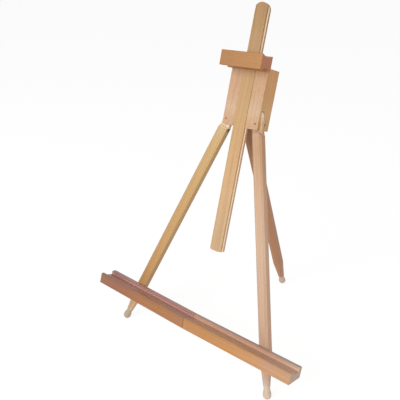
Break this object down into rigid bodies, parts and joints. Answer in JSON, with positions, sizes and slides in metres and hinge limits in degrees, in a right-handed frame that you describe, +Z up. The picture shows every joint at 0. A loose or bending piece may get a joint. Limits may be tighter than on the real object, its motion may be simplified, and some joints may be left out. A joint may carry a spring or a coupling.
{
  "type": "artist easel",
  "caption": "Wooden table easel: front legs and rear leg fold on a head block, a sliding mast carries a canvas holder, and a grooved two-part tray folds with the legs.",
  "frame": {"origin": "on the table, below the middle of the whole easel", "axes": "+Z up, +Y from the front (tray side) to the rear leg, +X to the right as seen from the front"},
  "size_m": [0.4952, 0.3857, 0.6942],
  "materials": {
    "block_wood": "planed beech, warm tan, clear lacquer",
    "mast_wood": "planed beech, pale tan, clear lacquer",
    "holder_wood": "planed beech, orange tan, clear lacquer",
    "leg_wood": "planed beech, pale tan, clear lacquer",
    "rear_wood": "planed beech, clear lacquer",
    "tray_left_wood": "planed beech, reddish brown, clear lacquer",
    "tray_right_wood": "planed beech, light tan, clear lacquer",
    "tip": "cream moulded tip",
    "knob": "black moulded knob",
    "brass": "turned or stamped brass",
    "pin": "steel pin, browned",
    "steel": "zinc-plated steel"
  },
  "bodies": {
    "head": {"head_block": "block_wood", "left_leg_pin": "pin", "right_leg_pin": "pin", "rear_leg_pin": "pin", "mast_lock_insert": "brass"},
    "mast": {"mast": "mast_wood"},
    "mast_lock": {"mast_lock_screw": "steel", "mast_knob": "knob"},
    "holder": {"canvas_holder": "holder_wood", "holder_yoke": "mast_wood", "holder_screws": "steel", "holder_lock_insert": "brass"},
    "holder_lock": {"holder_lock_screw": "steel", "holder_knob": "knob"},
    "left_leg": {"left_leg": "leg_wood", "left_foot_tip": "tip", "left_tray_washer": "steel"},
    "right_leg": {"right_leg": "leg_wood", "right_foot_tip": "tip", "right_tray_washer": "steel", "right_tray_bolt": "steel"},
    "rear_leg": {"rear_leg": "rear_wood", "rear_foot_tip": "tip"},
    "tray_left_half": {"tray_left": "tray_left_wood", "left_tray_insert": "brass", "left_tray_bolt": "steel", "left_hinge_leaf": "brass", "left_hinge_screws": "brass", "hinge_pin": "steel"},
    "tray_right_half": {"tray_right": "tray_right_wood", "right_tray_insert": "brass", "right_hinge_leaf": "brass", "right_hinge_screws": "brass"}
  },
  "joints": [
    {"name": "mast_slide", "type": "slide", "parent": "head", "child": "mast", "axis": [-0.0366, 0.3253, 0.9449], "range_m": [0, 0.22]},
    {"name": "mast_lock_turn", "type": "hinge", "parent": "head", "child": "mast_lock", "pos_m": [-0.00101, 0.04587, 0.52925], "axis": [0, -0.9455, 0.3256], "continuous": true},
    {"name": "holder_slide", "type": "slide", "parent": "mast", "child": "holder", "axis": [-0.0366, 0.3253, 0.9449], "range_m": [0, 0.075]},
    {"name": "holder_lock_turn", "type": "hinge", "parent": "holder", "child": "holder_lock", "pos_m": [-0.00284, 0.03848, 0.58458], "axis": [0, -0.9455, 0.3256], "continuous": true},
    {"name": "left_leg_swing", "type": "hinge", "parent": "head", "child": "left_leg", "pos_m": [-0.03272, -0.00095, 0.47852], "axis": [0, -0.9455, 0.3256], "range_deg": [0, 20.26]},
    {"name": "right_leg_swing", "type": "hinge", "parent": "head", "child": "right_leg", "pos_m": [0.03523, -0.00014, 0.48088], "axis": [0, -0.9455, 0.3256], "range_deg": [-15.19, 0]},
    {"name": "rear_leg_swing", "type": "hinge", "parent": "head", "child": "rear_leg", "pos_m": [0.00126, 0.01293, 0.47506], "axis": [-0.9993, -0.0119, -0.0346], "range_deg": [0, 39.2]},
    {"name": "tray_turn", "type": "hinge", "parent": "left_leg", "child": "tray_left_half", "pos_m": [-0.16909, -0.14787, 0.08945], "axis": [0, -0.9455, 0.3256], "range_deg": [0, 62.27]},
    {"name": "tray_fold", "type": "hinge", "parent": "tray_left_half", "child": "tray_right_half", "pos_m": [0.00002, -0.17295, 0.08128], "axis": [0, -0.9455, 0.3256], "range_deg": [-167.7, 0]}
  ],
  "couplings": [
    {"joint": "right_leg_swing", "follows": "left_leg_swing", "ratio": -0.74845},
    {"joint": "tray_turn", "follows": "left_leg_swing", "ratio": 3.0724},
    {"joint": "tray_fold", "follows": "left_leg_swing", "ratio": -8.2754}
  ]
}
